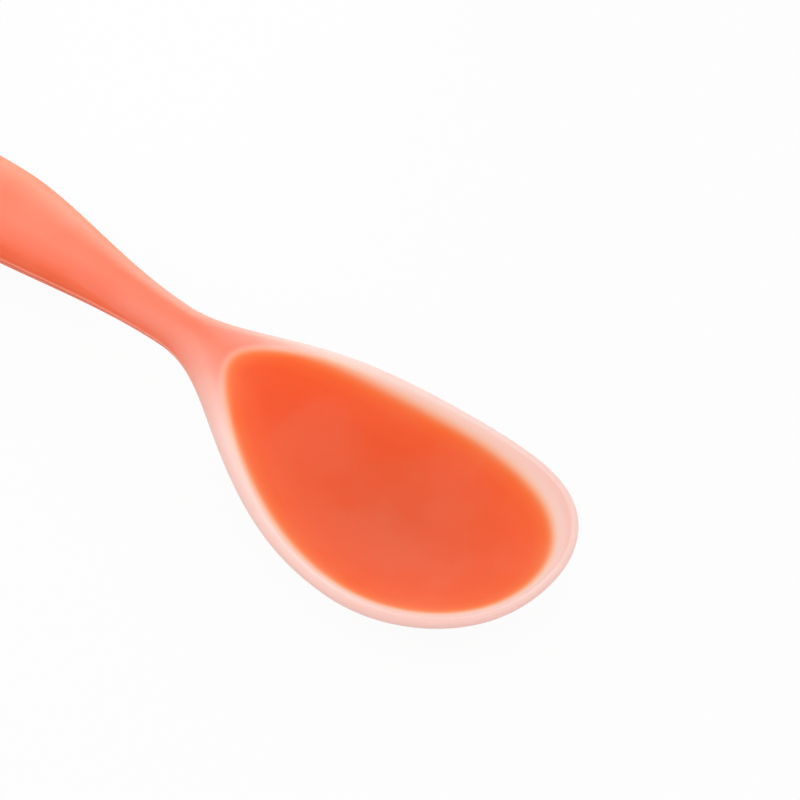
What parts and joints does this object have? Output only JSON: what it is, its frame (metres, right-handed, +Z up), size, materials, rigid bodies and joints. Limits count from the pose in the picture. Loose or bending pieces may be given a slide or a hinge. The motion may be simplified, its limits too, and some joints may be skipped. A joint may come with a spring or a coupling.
{
  "type": "rice paddle",
  "caption": "Spoon-shaped rice paddle: a stiff orange core with a dished plate in its head, moulded inside two halves of milky silicone, with a hanging hole in the handle.",
  "frame": {"origin": "on the table, under the middle of the paddle's length and width", "axes": "+X from the handle to the head, +Z up out of the bowl"},
  "size_m": [0.2346, 0.066, 0.022],
  "materials": {
    "nylon": "satin moulded orange nylon",
    "silicone": "milky translucent silicone with a soft matte surface"
  },
  "bodies": {
    "root": {"core": "nylon", "upper_skin": "silicone", "lower_skin": "silicone"}
  },
  "joints": []
}
